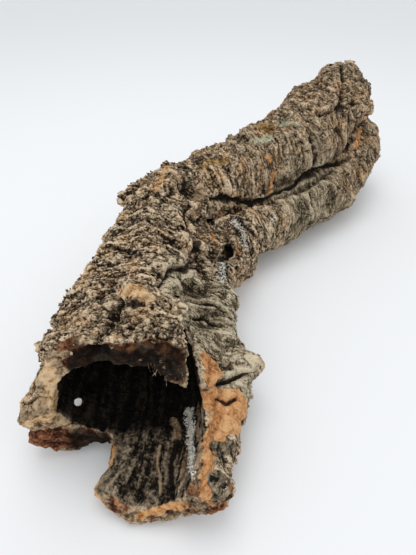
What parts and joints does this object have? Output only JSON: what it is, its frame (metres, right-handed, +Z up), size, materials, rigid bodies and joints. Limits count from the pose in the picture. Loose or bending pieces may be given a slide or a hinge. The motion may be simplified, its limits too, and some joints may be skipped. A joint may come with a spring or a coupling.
{
  "type": "cork bark tube",
  "caption": "Bent hollow tube of cork oak bark lying on its side, with a torn near mouth that runs out into an open trough, a folded side roll and an open far end.",
  "frame": {"origin": "on the flat rest spot under the middle of the tube, at the surface it lies on", "axes": "+Z up, +Y along the tube from the torn near mouth to the far end, +X towards the side roll"},
  "size_m": [0.2232, 0.5895, 0.1663],
  "materials": {
    "cork_bark": "matt, rough cork bark, grey-brown outside, orange-tan where cut"
  },
  "bodies": {
    "root": {"cork_bark_tube": "cork_bark"}
  },
  "joints": []
}
